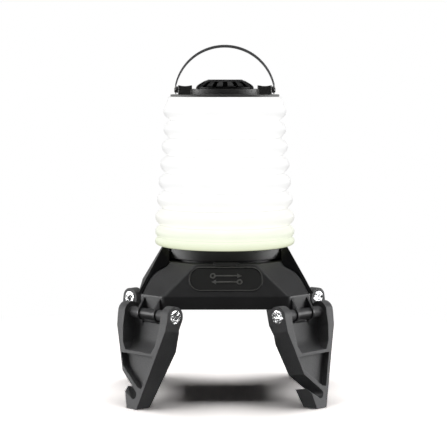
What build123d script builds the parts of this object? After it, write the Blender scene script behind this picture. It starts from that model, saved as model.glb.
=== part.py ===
from math import asin, atan, cos, degrees, dist, radians, sin, sqrt
import os

from build123d import *

# Collapsible camping lantern: a silicone bellows globe on a four-armed base with
# four fold-out hook legs. Millimetres, +Z up, X to the right, the port cover faces
# -Y. The origin is on the ground under the centre of the base, between the feet.

# ---------------------------------------------------------------- driving sizes
wall = 2.0                    # moulded walls of the base
running_gap = 0.05            # radial clearance of turning pins and shafts
slide_gap = 0.15              # around pieces that drop in or slide
joint_gap = 0.3               # between the ends of knuckles and other moving faces
seat_gap = 0.1                # between fixed pieces of the base

# housing: an octagonal pyramid stump on a straight skirt
skirt_bottom = 47.3
skirt_high = 6.2
slope_high = 14.7
panel_half = 41.2             # half width over the flat panels at the fold
panel_top_half = 33.4         # the same at the deck
arm_width = 15.53             # width of the diagonal arm faces at the fold
arm_top_width = 26.27         # the same at the deck
fold_round = 0.8              # rounding of the folds over the skirt
arm_round = 3.2               # rounding between the panels and the arm faces
cavity_inset = 2.6            # panel walls, measured level
arm_cavity_inset = 4.0        # arm walls, measured level

# collar and globe seat
collar_inset = 3.2            # collar inside the panels at the deck
collar_wall = 3.35
collar_clear = 1.0            # collar above the deck
collar_high = 5.2
neck_inset = 1.8              # neck inside the collar
neck_flare = 1.0              # foot of the neck, under the deck
neck_foot_high = 1.0
ledge_inset = 3.8             # lamp ledge inside the neck
spreader_rise = 0.8           # lamp ledge above the collar's lower edge

# leg hinge, the same on all four diagonals
hinge_out = 1.28              # pin outside the arm faces
hinge_drop = 2.67             # pin under the skirt
knuckle_radius = 2.7
cheek_radius = 3.4
lug_half = 6.1                # half width of the middle knuckle with its cheeks
cheek_thick = 1.2
pin_radius = 1.9
thread_radius = 1.2
head_radius = 3.4
head_thick = 1.8
head_proud = 0.3
socket_across = 2.6
socket_depth = 1.1
driver_slot = 0.9
nut_short = 3.0               # the nut's shank ends this far before the screw's head
screw_reach_in = 26.0         # length of the screw's thread

# hook leg
leg_half = 17.4               # half width over the ears
ear_radius = 5.1
ear_inner = 12.6              # inner faces of the ears
ear_run_in = 21.0             # where the inner edge meets the ear, degrees below level
foot_out = 13.02              # outer edge of the sole, outside the pin
foot_depth = 8.6
foot_left = 3.0
foot_right = 3.8
taper_drop = 5.63             # the straight taper ends this far under the pin
knee_z = 27.0                 # deepest point of the right-hand wall
knee_depth = 12.2
left_wall_low = 9.4           # depth of the left-hand wall above the hook
left_wall_high = 11.6
hook_kink = (-9.1, 17.6)      # where the hook slot leaves the left edge
hook_end = (0.6, 7.0)         # centre of the round end of the slot
hook_radius = 2.1
hook_tip = (-6.3, 10.5)       # the hook's point, behind a bevel on its front corner
hook_corner = (-5.3, 7.9)     # where the bevel starts on the outer face
hook_bevel = 2.5              # and how deep it runs back
recess_corner = 10.2          # lowest corner of the lower recess, on the right
rim_upper = 3.7               # rims around the upper recess
rim_left = 1.3
rim_right = 1.9
rim_slot = 2.2
rib_low = 26.2
rib_thick = 1.1
recess_depth = 7.5            # upper recess, at the hinge end
recess_scoop = 7.2            # radius of its floor at the rib
recess_edge = 1.4             # upper recess, at the rib
panel_depth = 3.0             # lower recess
web_gap = 1.1                 # between the top of the web and the cheeks

# side guards
guard_thick = 2.2
guard_proud = 0.5
guard_wrap = 0.8              # cover over the collar
guard_lip = 0.9               # depth let into the arm faces
guard_step = 0.2              # top of the guards under the top of the collar
guard_inset = 2.6             # front edges of the guards inside the collar
guard_bend = (1.94, 4.4)      # bends of the inner edge: inside the panel edge, under the deck
guard_run = (0.27, 8.8)
guard_end = 0.4               # and inside the panel at its lower end

# port cover and sockets, on the front panel
port_rise = 8.1               # middle of the cover over the fold
port_width = 34.2
port_height = 11.1
port_round = 4.9
port_recess = 2.4
flap_thick = 1.5
flap_lip = 1.0                # sealing lip behind the cover
anchor_high = 1.6
rim_wide = 0.55
tab_wide = 12.0               # tabs between collar and panels
tab_thick = 2.0
tab_drop = 1.0
rim_high = 0.25
usb_a = (13.2, 5.8, 10.0)     # width, height, depth of the short-body shell
micro_usb = (7.6, 3.0, 6.0)
usb_a_tongue = (11.1, 1.6, 1.2)   # width, thickness, distance above the middle
micro_usb_tongue = (5.6, 0.7, 0.0)
socket_back = 1.0
usb_gap = 3.0
usb_a_x = -4.6
sheet_metal = 0.35
board_thick = 1.6

# rear controls
control_rise = 7.3            # middle of the buttons over the fold
button_x = 10.5
button_radius = 5.6
button_flange = 6.6
flange_thick = 1.0
button_proud = 0.9
button_travel = 0.8
lens_radius = 1.4
nub_radius = 1.5
nub_long = 1.2
switch_side = 6.0
switch_high = 3.0
switch_post_x = 19.5
post_radius = 2.0

# bottom cover, battery and boards
cover_thick = 2.0
cover_ledge = 1.2
screw_inset = 10.5            # screws inside the arm faces
screw_radius = 1.4
screw_head = 2.7
screw_long = 7.0
screw_post = 9.0
battery = (60.0, 36.0, 10.5)
tray_wall = 1.2
tray_floor = 0.8
board_size = (56.0, 34.0)
board_posts = 1.2             # board above the battery

# lamp
spreader_thick = 1.5
lamp_board_inset = 1.7        # lamp board inside the spreader
led_inset = 8.0               # ring of emitters and lens inside the lamp board
led_count = 12
led_side = 2.8
led_high = 0.8
lens_inset = 3.0
lens_height = 5.5
lens_wall = 1.2

# silicone globe
globe_wall = 1.2
flange_over = 5.0             # flange beyond the collar
groove_depth = 1.5
groove_rise = 4.7             # from the collar to the groove
bead_high = 5.9
crest_inset = 0.3             # lowest crest inside the flange
crest_taper = 4.2             # from the lowest crest to the highest
fold_depth = 3.2
bead_notch = 2.6              # depth of the notch over the bead
fold_pitch = 8.8
fold_count = 7
first_rise = 3.9              # from the bead to the first crest
shoulder_rise = 11.7          # from the last notch to the cap
shoulder_inset = 1.5          # shoulder inside the highest crest
shoulder_lean = 0.4
clamp_wide = 2.5
retainer_inset = 0.2          # inside the collar
retainer_wide = 2.5
retainer_high = 1.8
clamp_inset = 0.2             # inside the cap disk
flange_round = 2.4            # rounding under the flange's edge

# cap and bail
disk_inset = 2.0              # disk inside the shoulder
disk_thick = 1.1
hub_radius = 17.6
hub_high = 2.8
lug_inset = 3.8               # lugs inside the edge of the disk
lug_long = 7.0
lug_depth = 8.4
lug_high = 4.5
lug_dish = 0.35
crown_radius = 14.4
crown_flat = 8.7
crown_high = 4.4
crown_haunch = (11.6, 2.9)    # radius and height over the hub
window_count = 16
window_wide = 2.1
window_sill = 0.9
crown_wall = 1.0
bail_pivot_rise = 2.4         # over the disk
bail_pivot_out = 1.1          # middle of the straps outside the lugs
bail_pin_radius = 1.1
boss_wall = 0.5
bail_wide = 4.4
bail_thick = 0.6
bail_eye = 2.1
bail_radius = 25.1
bail_rise = 22.3              # from the pivots to the top
pin_head = 0.4
bail_lean = 10.0
clamp_thick = 2.6

os.makedirs("parts", exist_ok=True)

# ---------------------------------------------------------------- shared places
fold_z = skirt_bottom + skirt_high              # where the skirt turns into the sloping panels
deck_z = fold_z + slope_high                    # flat top under the collar
collar_bottom = deck_z + collar_clear
collar_top = collar_bottom + collar_high
spreader_seat = collar_bottom + spreader_rise
guard_top = collar_top - guard_step
port_z = fold_z + port_rise
control_z = fold_z + control_rise
arm_reach = sqrt(2) * panel_half - arm_width / 2            # centre to arm face at the fold
arm_top_reach = sqrt(2) * panel_top_half - arm_top_width / 2
screw_reach = arm_reach - screw_inset
collar_radius = panel_top_half - collar_inset
neck_radius = collar_radius - neck_inset
neck_foot = neck_radius + neck_flare
ledge_radius = neck_radius - ledge_inset
spreader_radius = collar_radius - collar_wall - slide_gap
lamp_board_radius = spreader_radius - lamp_board_inset
led_ring = lamp_board_radius - led_inset
lens_outer = lamp_board_radius - lens_inset
guard_front = collar_radius - guard_inset
flange_radius = collar_radius + flange_over
flange_groove = flange_radius - groove_depth
crest_low = flange_radius - crest_inset
crest_high = crest_low - crest_taper
shoulder_radius = crest_high - shoulder_inset
retainer_outer = collar_radius - retainer_inset
disk_radius = shoulder_radius - disk_inset
lug_outer = disk_radius - lug_inset
lug_inner = lug_outer - lug_long
bail_pivot_x = lug_outer + bail_pivot_out
clamp_outer = disk_radius - clamp_inset
globe_hole = clamp_outer - clamp_wide
hinge_reach = arm_reach + hinge_out
hinge_z = skirt_bottom - hinge_drop
foot_reach = hinge_reach + foot_out
taper_top = hinge_z - taper_drop
groove_z = collar_top + groove_rise
bead_top = groove_z + bead_high
first_crest = bead_top + first_rise
last_notch = first_crest + (fold_count - 1.5) * fold_pitch
disk_bottom = last_notch + shoulder_rise
disk_top = disk_bottom + disk_thick
hub_top = disk_top + hub_high
lug_top = disk_top + lug_high
crown_top = hub_top + crown_high
bail_pivot_z = disk_top + bail_pivot_rise
bail_top = bail_pivot_z + bail_rise

panel_run = (panel_half - panel_top_half) / (deck_z - fold_z)
arm_run = (arm_reach - arm_top_reach) / (deck_z - fold_z)
panel_lean = degrees(atan(panel_run))
arm_lean = degrees(atan(arm_run))
panel_wall = cavity_inset * cos(radians(panel_lean))
corners = {"front_right": 45, "rear_right": 135, "rear_left": 225, "front_left": 315}


def panel_reach(z):
    """Centre to flat panel at a height."""
    return panel_half - panel_run * (z - fold_z)


def arm_face(z):
    """Centre to arm face at a height, on the diagonal."""
    return arm_reach - arm_run * (z - fold_z)


def stump(bottom, top, side_inset, front_inset, arm_inset):
    """Octagonal pyramid stump with the slopes of the base, drawn in by the insets."""
    with BuildPart(mode=Mode.PRIVATE) as body:
        with BuildSketch(Plane.XY.offset(bottom)):
            reach = panel_reach(bottom)
            Rectangle(2 * (reach - side_inset), 2 * (reach - front_inset))
        extrude(amount=top - bottom, taper=panel_lean)
        with BuildSketch(Plane.XY.offset(bottom)):
            square = 2 * (arm_face(bottom) - arm_inset)
            Rectangle(square, square, rotation=45)
        extrude(amount=top - bottom, taper=arm_lean, mode=Mode.INTERSECT)
    return body.part


def prism(bottom, top, side_inset, front_inset, arm_inset):
    """Straight octagonal block under the fold, drawn in by the insets."""
    with BuildPart(mode=Mode.PRIVATE) as body:
        with BuildSketch(Plane.XY.offset(bottom)):
            Rectangle(2 * (panel_half - side_inset), 2 * (panel_half - front_inset))
            square = 2 * (arm_reach - arm_inset)
            Rectangle(square, square, rotation=45, mode=Mode.INTERSECT)
        extrude(amount=top - bottom)
    return body.part


def panel_plane(side, z):
    """Plane on a sloping panel: side -1 is the front, +1 the rear; local y runs uphill."""
    lean = radians(panel_lean)
    return Plane(
        origin=(0, side * panel_reach(z), z),
        x_dir=(-side, 0, 0),
        z_dir=(0, side * cos(lean), sin(lean)),
    )


def side_points(*pairs):
    """Points of a side outline, given as outward reach and height, on Plane.YZ."""
    return [(-reach, z) for reach, z in pairs]


def save(builder, name):
    """Label a finished piece and write its STEP file."""
    builder.part.label = name
    export_step(builder.part, f"parts/{name}.step")


# depth of the switch board under the rear panel: flange, nub and travel, then the switch
switch_gap = button_travel + seat_gap
switch_top = panel_wall + seat_gap + flange_thick + nub_long + switch_gap
switch_board_depth = switch_top + switch_high

front_panel = panel_plane(-1, port_z)
rear_panel = panel_plane(1, control_z)

# ---------------------------------------------------------------- side guards
# Each guard wraps one side of the base, from the fold up over the collar. Seen from the
# front its inner edge drops down the collar, then sweeps out along the arm.
guard_low = fold_z + joint_gap
guard_sweep = [
    (guard_front, deck_z),
    *((panel_reach(deck_z - down) - inside, deck_z - down) for inside, down in (guard_bend, guard_run)),
    (panel_reach(guard_low) - guard_end, guard_low),
]


def guard_envelope(spare):
    """Outer form of both guards, grown by a clearance."""
    proud = -guard_proud - spare
    with BuildPart(mode=Mode.PRIVATE) as body:
        add(stump(guard_low - spare, guard_top, proud, proud, proud))
        with BuildSketch(Plane.XY.offset(deck_z - wall)):
            Circle(collar_radius + guard_wrap + spare)
        extrude(amount=guard_top - deck_z + wall)
        inner = [(x - spare, z - spare / 2) for x, z in guard_sweep]
        inner_top = (guard_front - spare, guard_top + spare)
        outer_top = (collar_radius + guard_wrap + spare, guard_top + spare)
        outer_low = (panel_reach(guard_low) + guard_proud + spare, inner[-1][1])
        with BuildSketch(Plane.XZ):
            with BuildLine():
                Line(inner_top, inner[0])
                Spline(*inner, tangents=((0.5, -0.87), (0.4, -0.92)))
                Polyline(inner[-1], outer_low, outer_top, inner_top)
            make_face()
            mirror(about=Plane.YZ)
        extrude(amount=2 * panel_half, both=True, mode=Mode.INTERSECT)
    return body.part


def guard_core(spare):
    """What the guards lie on: the base drawn in under them, and the collar."""
    with BuildPart(mode=Mode.PRIVATE) as body:
        add(stump(skirt_bottom, deck_z, guard_thick - spare, -guard_thick, guard_lip - spare))
        with BuildSketch(Plane.XY.offset(deck_z)):
            Circle(collar_radius + spare)
        extrude(amount=guard_top - deck_z + spare)
    return body.part


with BuildPart() as guards:
    add(guard_envelope(0))
    add(guard_core(seat_gap), mode=Mode.SUBTRACT)
for name, solid in zip(("side_guard_left", "side_guard_right"), guards.solids().sort_by(Axis.X)):
    with BuildPart() as guard:
        add(solid)
    save(guard, name)

# ---------------------------------------------------------------- housing
# Upper half of the base: sloping panels and arm faces on a straight skirt, with a
# hinge lug under each arm, the port recess in front and the control holes behind.
cover_insets = [inset - cover_ledge for inset in (guard_thick + wall, cavity_inset, arm_cavity_inset)]
lug_back = arm_reach - arm_cavity_inset + cover_ledge + seat_gap
bore = pin_radius + running_gap


def hinge_lug():
    """Middle knuckle of a leg hinge, on its plate between two flaring cheeks."""
    top = fold_z - fold_round
    with BuildPart(mode=Mode.PRIVATE) as lug:
        with BuildSketch(Plane.YZ):
            with BuildLine():
                Polyline(*side_points((arm_reach, top), (arm_reach, hinge_z), (lug_back + 1, hinge_z - 1.4),
                                      (lug_back, skirt_bottom), (lug_back, top)), close=True)
            make_face()
            with Locations((-hinge_reach, hinge_z)):
                Circle(knuckle_radius)
        extrude(amount=lug_half, both=True)
        with BuildSketch(Plane.YZ.offset(lug_half)):
            with BuildLine():
                lean = radians(32)
                Polyline(*side_points(
                    (arm_reach - 0.2, top),
                    (hinge_reach + cheek_radius * cos(lean), hinge_z + cheek_radius * sin(lean)),
                    (hinge_reach, hinge_z),
                    (hinge_reach - cheek_radius * cos(lean), hinge_z - cheek_radius * sin(lean)),
                    (lug_back, skirt_bottom)), close=True)
            make_face()
            with Locations((-hinge_reach, hinge_z)):
                Circle(cheek_radius)
        cheek = extrude(amount=-cheek_thick)
        mirror(cheek, about=Plane.YZ)
        with BuildSketch(Plane.YZ):
            with Locations((-hinge_reach, hinge_z)):
                Circle(bore)
        extrude(amount=lug_half, both=True, mode=Mode.SUBTRACT)
    return lug.part


def soft_octagon(z):
    """Outline of the base at a height, rounded between the panels and the arm faces."""
    with BuildSketch(Plane.XY.offset(z), mode=Mode.PRIVATE) as outline:
        Rectangle(2 * panel_reach(z), 2 * panel_reach(z))
        Rectangle(2 * arm_face(z), 2 * arm_face(z), rotation=45, mode=Mode.INTERSECT)
        fillet(outline.vertices(), arm_round)
    return outline.sketch


with BuildPart() as housing:
    extrude(soft_octagon(fold_z), amount=-skirt_high)
    loft([soft_octagon(fold_z).face(), soft_octagon(deck_z).face()], ruled=True)
    fillet(housing.edges().filter_by(lambda edge: abs(edge.center().Z - fold_z) < seat_gap), fold_round)
    # room inside, open at the bottom with a ledge for the bottom cover
    add(stump(fold_z, deck_z - wall, guard_thick + wall, cavity_inset, arm_cavity_inset),
        mode=Mode.SUBTRACT)
    add(prism(skirt_bottom, fold_z, guard_thick + wall, cavity_inset, arm_cavity_inset),
        mode=Mode.SUBTRACT)
    add(prism(skirt_bottom, skirt_bottom + cover_thick, *cover_insets), mode=Mode.SUBTRACT)
    # beds of the side guards
    add(guard_envelope(seat_gap) - guard_core(0), mode=Mode.SUBTRACT)
    # hole for the collar neck
    with BuildSketch(Plane.XY.offset(deck_z)):
        Circle(neck_radius + seat_gap)
    extrude(amount=-wall, mode=Mode.SUBTRACT)
    # thick wall behind the port cover, its recess and the raised line around it
    with BuildSketch(front_panel):
        RectangleRounded(port_width + port_round / 2, port_height + port_round / 2, port_round * 1.25)
    extrude(amount=-port_recess - wall)
    with BuildSketch(front_panel):
        RectangleRounded(port_width + 2 * (slide_gap + rim_wide), port_height + 2 * (slide_gap + rim_wide),
                         port_round + slide_gap + rim_wide)
    extrude(amount=rim_high)
    with BuildSketch(front_panel.offset(rim_high)):
        RectangleRounded(port_width + 2 * slide_gap, port_height + 2 * slide_gap, port_round + slide_gap)
    extrude(amount=-port_recess - rim_high, mode=Mode.SUBTRACT)
    usb_floor = front_panel.offset(-port_recess)
    micro_x = usb_a_x + usb_a[0] / 2 + usb_gap + micro_usb[0] / 2
    micro_y = (micro_usb[1] - usb_a[1]) / 2
    with BuildSketch(usb_floor):
        with Locations((usb_a_x, 0)):
            Rectangle(usb_a[0] + 2 * slide_gap, usb_a[1] + 2 * slide_gap)
        with Locations((micro_x, micro_y)):
            Rectangle(micro_usb[0] + 2 * slide_gap, micro_usb[1] + 2 * slide_gap)
    extrude(amount=-wall, mode=Mode.SUBTRACT)
    # tabs that bridge the gap under the collar at the middle of the front and rear
    for side in (-1, 1):
        with BuildSketch(panel_plane(side, deck_z).offset(-tab_thick)):
            Trapezoid(tab_wide, 2 * tab_drop, 65, rotation=180)
        extrude(amount=tab_thick + rim_high)
    with BuildSketch(Plane.XY.offset(collar_bottom)):
        Circle(2 * panel_half)
        Circle(collar_radius - tab_thick, mode=Mode.SUBTRACT)
    extrude(amount=2 * tab_drop, mode=Mode.SUBTRACT)
    with BuildSketch(Plane.XY.offset(deck_z)):
        Circle(neck_radius + seat_gap)
    extrude(amount=2 * tab_drop, mode=Mode.SUBTRACT)
    # holes for the two buttons and the charge light
    with BuildSketch(rear_panel):
        with Locations((-button_x, 0), (button_x, 0)):
            Circle(button_radius + slide_gap)
        Circle(lens_radius + slide_gap)
    extrude(amount=-2 * panel_wall, mode=Mode.SUBTRACT)
    # posts for the switch board, blind holes and posts for the bottom screws
    with BuildSketch(rear_panel.offset(-panel_wall / 2)):
        with Locations((-switch_post_x, 0), (switch_post_x, 0)):
            Circle(post_radius)
    extrude(amount=-(switch_board_depth - panel_wall / 2))
    with BuildSketch(Plane.XY.offset(skirt_bottom + cover_thick)):
        with PolarLocations(screw_reach, 4, start_angle=45):
            Circle(post_radius + wall / 2)
    extrude(amount=screw_post)
    with BuildSketch(Plane.XY.offset(skirt_bottom + cover_thick)):
        with PolarLocations(screw_reach, 4, start_angle=45):
            Circle(screw_radius + running_gap)
    extrude(amount=screw_long, mode=Mode.SUBTRACT)
    for angle in corners.values():
        add(hinge_lug().rotate(Axis.Z, angle))

save(housing, "housing")

# ---------------------------------------------------------------- bottom cover
# Plate that closes the base, let into the skirt and held by four screws at the corners.
with BuildPart() as bottom_cover:
    add(prism(skirt_bottom, skirt_bottom + cover_thick - seat_gap,
              *(inset + slide_gap for inset in cover_insets)))
    with BuildSketch(Plane.XY.offset(skirt_bottom)):
        with PolarLocations(screw_reach, 4, start_angle=45):
            Circle(screw_radius + slide_gap)
    extrude(amount=cover_thick, mode=Mode.SUBTRACT)
    with BuildSketch(Plane.XY.offset(skirt_bottom)):
        with PolarLocations(screw_reach, 4, start_angle=45):
            Circle(screw_head + slide_gap)
    extrude(amount=cover_thick / 2, mode=Mode.SUBTRACT)
    # shallow panel between the screws
    with BuildSketch(Plane.XY.offset(skirt_bottom)):
        RectangleRounded(battery[0], battery[1], port_round)
    extrude(amount=rim_high * 2, mode=Mode.SUBTRACT)
save(bottom_cover, "bottom_cover")

with BuildPart() as cover_screws:
    with BuildSketch(Plane.XY.offset(skirt_bottom + rim_high)):
        with PolarLocations(screw_reach, 4, start_angle=45):
            Circle(screw_head)
    extrude(amount=cover_thick / 2 - rim_high)
    with BuildSketch(Plane.XY.offset(skirt_bottom + cover_thick / 2)):
        with PolarLocations(screw_reach, 4, start_angle=45):
            Circle(screw_radius)
    extrude(amount=screw_long)
    with BuildSketch(Plane.XY.offset(skirt_bottom)):
        with PolarLocations(screw_reach, 4, start_angle=45):
            SlotOverall(2 * screw_head * 0.7, driver_slot)
            SlotOverall(2 * screw_head * 0.7, driver_slot, rotation=90)
    extrude(amount=cover_thick / 2 - rim_high, mode=Mode.SUBTRACT)
save(cover_screws, "cover_screws")

# ---------------------------------------------------------------- battery and main board
# The battery stands in a tray on the bottom cover, and the main board on the tray's
# four corner posts.
tray_z = skirt_bottom + cover_thick - seat_gap
battery_z = tray_z + tray_floor
board_z = battery_z + battery[2] + board_posts
tray_size = (battery[0] + 2 * (tray_wall + slide_gap), battery[1] + 2 * (tray_wall + slide_gap))
with BuildPart() as battery_tray:
    with BuildSketch(Plane.XY.offset(tray_z)):
        Rectangle(*tray_size)
    extrude(amount=tray_floor + battery[2] / 2)
    with BuildSketch(Plane.XY.offset(battery_z)):
        Rectangle(battery[0] + 2 * slide_gap, battery[1] + 2 * slide_gap)
    extrude(amount=battery[2], mode=Mode.SUBTRACT)
    with BuildSketch(Plane.XY.offset(tray_z)):
        with GridLocations(tray_size[0] - 4 * tray_wall, tray_size[1] - tray_wall, 2, 2):
            Rectangle(4 * tray_wall, tray_wall)
    extrude(amount=board_z - tray_z)
save(battery_tray, "battery_tray")

with BuildPart() as battery_pack:
    with BuildSketch(Plane.XY.offset(battery_z)):
        Rectangle(battery[0], battery[1])
    extrude(amount=battery[2])
    fillet(battery_pack.edges().filter_by(Axis.X), tray_wall)
save(battery_pack, "battery_pack")

with BuildPart() as main_board:
    with BuildSketch(Plane.XY.offset(board_z)):
        Rectangle(board_size[0], tray_size[1])
        with GridLocations(board_size[0] - 4 * screw_radius, board_size[1] - 4 * screw_radius, 2, 2):
            Circle(screw_radius, mode=Mode.SUBTRACT)
    extrude(amount=board_thick)
save(main_board, "main_board")

# ---------------------------------------------------------------- collar
# Turned-looking ring that stands clear of the deck. Its neck snaps through the deck,
# and a ledge inside carries the lamp.
with BuildPart() as collar_ring:
    with BuildSketch(Plane.XZ):
        with BuildLine():
            foot_top = deck_z - wall - seat_gap
            Polyline(
                (ledge_radius, foot_top - neck_foot_high),
                (neck_foot, foot_top - neck_foot_high),
                (neck_foot, foot_top),
                (neck_radius, foot_top),
                (neck_radius, collar_bottom),
                (collar_radius, collar_bottom),
                (collar_radius, collar_top),
                (spreader_radius + slide_gap, collar_top),
                (spreader_radius + slide_gap, spreader_seat),
                (ledge_radius, spreader_seat),
                close=True,
            )
        make_face()
    revolve(axis=Axis.Z)
    circles = collar_ring.edges().filter_by(GeomType.CIRCLE)
    fillet(circles.filter_by(lambda edge: edge.radius > neck_foot + seat_gap), fold_round / 2)
save(collar_ring, "collar_ring")

# ---------------------------------------------------------------- lamp
# Aluminium heat spreader on the collar ledge, the round lamp board on it with a ring of
# emitters, and a shallow diffusing lens over them.
lamp_z = spreader_seat + spreader_thick
with BuildPart() as heat_spreader:
    with BuildSketch(Plane.XY.offset(spreader_seat)):
        Circle(spreader_radius)
    extrude(amount=spreader_thick)
save(heat_spreader, "heat_spreader")

with BuildPart() as lamp_board:
    with BuildSketch(Plane.XY.offset(lamp_z)):
        Circle(lamp_board_radius)
    extrude(amount=board_thick)
save(lamp_board, "lamp_board")

with BuildPart() as emitters:
    with BuildSketch(Plane.XY.offset(lamp_z + board_thick)):
        with PolarLocations(led_ring, led_count):
            Rectangle(led_side, led_side)
        Rectangle(led_side, led_side)
    extrude(amount=led_high)
save(emitters, "led_emitters")

with BuildPart() as lens:
    with BuildSketch(Plane.XY.offset(lamp_z + board_thick)):
        Circle(lens_outer)
    extrude(amount=lens_height)
    fillet(lens.edges().sort_by(Axis.Z)[-1], lens_height / 2)
    offset(amount=-lens_wall, openings=lens.faces().sort_by(Axis.Z)[0])
save(lens, "lamp_lens")

# ---------------------------------------------------------------- globe
# Moulded silicone bellows. Its flange sits on the collar under a retaining ring, and its
# top is pinched under the cap disk by a clamp ring.
notches = [(crest_low - bead_notch, bead_top)]
crests = []
for fold in range(fold_count - 1):
    share = (fold + 0.5) / fold_count
    crest = crest_low + (crest_high - crest_low) * fold / (fold_count - 1)
    crests.append((crest, first_crest + fold * fold_pitch))
    next_crest = crest_low + (crest_high - crest_low) * (fold + 1) / (fold_count - 1)
    notches.append(((crest + next_crest) / 2 - fold_depth, first_crest + (fold + 0.5) * fold_pitch))


def globe_side(inward):
    """Outer line of the globe from flange to shoulder, or its inside with an offset."""
    bead = (groove_z + bead_top) / 2
    start = (flange_radius - flange_round - inward, collar_top + inward)
    low = ThreePointArc(start, (flange_radius - inward, (collar_top + groove_z) / 2 + inward / 2),
                        (flange_groove - inward, groove_z))
    ThreePointArc(low @ 1, (crest_low + 0.1 - inward, bead), (notches[0][0] - inward, notches[0][1]))
    for below, crest, above in zip(notches, crests, notches[1:]):
        ThreePointArc((below[0] - inward, below[1]), (crest[0] - inward, crest[1]),
                      (above[0] - inward, above[1]))
    top = notches[-1]
    shoulder = ThreePointArc((top[0] - inward, top[1]), (crest_high - inward, top[1] + fold_pitch / 2),
                             (shoulder_radius - inward, disk_bottom - fold_pitch / 4))
    return start, shoulder @ 1


with BuildPart() as globe:
    with BuildSketch(Plane.XZ):
        with BuildLine():
            outer_start, outer_end = globe_side(0)
            inner_start, inner_end = globe_side(globe_wall)
            under_disk = disk_bottom - globe_wall
            flange_inner = retainer_outer - retainer_wide
            Polyline(outer_end, (shoulder_radius - shoulder_lean, disk_bottom), (globe_hole, disk_bottom),
                     (globe_hole, under_disk), (clamp_outer, under_disk), inner_end)
            Polyline(inner_start, (flange_inner, collar_top + globe_wall), (flange_inner, collar_top),
                     outer_start)
        make_face()
    revolve(axis=Axis.Z)
save(globe, "globe")

with BuildPart() as globe_retainer:
    with BuildSketch(Plane.XY.offset(collar_top + globe_wall)):
        Circle(retainer_outer)
        Circle(retainer_outer - retainer_wide, mode=Mode.SUBTRACT)
    extrude(amount=retainer_high)
save(globe_retainer, "globe_retainer")

# ---------------------------------------------------------------- cap
# One moulding: disk, round hub and the two bail lugs. A clamp ring under the disk holds
# the top of the globe.
with BuildPart() as cap:
    with BuildSketch(Plane.XY.offset(disk_bottom)):
        Circle(disk_radius)
    extrude(amount=disk_top - disk_bottom)
    fillet(cap.edges().sort_by(Axis.Z)[-1], rim_high)
    with BuildSketch(Plane.XY.offset(disk_top)):
        Circle(hub_radius)
    extrude(amount=hub_top - disk_top)
    with BuildSketch(Plane.XY.offset(disk_top)):
        with GridLocations(lug_inner + lug_outer, 0, 2, 1):
            Rectangle(lug_outer - lug_inner, lug_depth)
    extrude(amount=lug_top - disk_top)
    tall = cap.edges().filter_by(Axis.Z).filter_by(lambda edge: edge.center().Z > hub_top - 1)
    fillet(tall.filter_by(lambda edge: abs(edge.center().X) > lug_outer - 1), fold_round)
    # dished tops of the lugs
    dish = (0.8 * (lug_outer - lug_inner)) ** 2 / (8 * lug_dish)
    for side in (-1, 1):
        with BuildSketch(Plane.XZ):
            with Locations((side * (lug_inner + lug_outer) / 2, lug_top - lug_dish + dish)):
                Circle(dish)
        extrude(amount=lug_depth, both=True, mode=Mode.SUBTRACT)
    # round bosses for the bail pins
    with BuildSketch(Plane.YZ.offset(lug_outer - fold_round)):
        with Locations((0, bail_pivot_z)):
            Circle(bail_pin_radius + boss_wall)
    boss = extrude(amount=bail_pivot_x - bail_thick / 2 - seat_gap - lug_outer + fold_round)
    mirror(boss, about=Plane.YZ)
    with BuildSketch(Plane.YZ.offset(lug_inner)):
        with Locations((0, bail_pivot_z)):
            Circle(bail_pin_radius)
    hole = extrude(amount=bail_pivot_x, mode=Mode.SUBTRACT)
    mirror(hole, about=Plane.YZ, mode=Mode.SUBTRACT)
save(cap, "cap")

with BuildPart() as cap_clamp:
    with BuildSketch(Plane.XY.offset(disk_bottom - globe_wall - clamp_thick)):
        Circle(clamp_outer - slide_gap)
        Circle(globe_hole - globe_wall, mode=Mode.SUBTRACT)
    extrude(amount=clamp_thick)
    with BuildSketch(Plane.XY.offset(disk_bottom)):
        Circle(globe_hole - slide_gap)
        Circle(globe_hole - globe_wall, mode=Mode.SUBTRACT)
    extrude(amount=-globe_wall - clamp_thick)
save(cap_clamp, "cap_clamp")

# vent crown: a low dome with a ring of windows over a dark core
with BuildPart() as crown:
    with BuildSketch(Plane.XZ):
        with BuildLine():
            haunch = (crown_haunch[0], hub_top + crown_haunch[1])
            slope = Spline((crown_radius, hub_top), haunch, (crown_flat, crown_top),
                           tangents=((-0.35, 1), (-1, 0.12)))
            Polyline(slope @ 1, (0, crown_top), (0, crown_top - crown_wall),
                     (crown_flat - crown_wall, crown_top - crown_wall),
                     (crown_radius - 2 * crown_wall, hub_top), slope @ 0)
        make_face()
    revolve(axis=Axis.Z)
    with BuildSketch(Plane.XY.offset(hub_top + window_sill)):
        with PolarLocations(crown_radius, window_count, start_angle=90):
            Rectangle(crown_radius, window_wide)
    extrude(amount=crown_top - hub_top - 2 * window_sill, mode=Mode.SUBTRACT)
save(crown, "vent_crown")

with BuildPart() as core:
    with BuildSketch(Plane.XY.offset(hub_top)):
        Circle(crown_flat - crown_wall - slide_gap)
    extrude(amount=crown_top - crown_wall - hub_top)
save(core, "vent_core")

# ---------------------------------------------------------------- bail
# Flat spring-steel strap, bent to an arc over straight ends with round eyes. It stands a
# little out of upright.
arc_z = bail_top - bail_thick / 2 - bail_radius
spring_z = arc_z + sqrt(bail_radius ** 2 - bail_pivot_x ** 2)
half = bail_thick / 2
eye_bore = bail_pin_radius + running_gap


def lean_back(shape):
    """Turn a piece of the bail about its pivots, out of upright."""
    return shape.rotate(Axis((0, 0, bail_pivot_z), (1, 0, 0)), -bail_lean)


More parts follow.
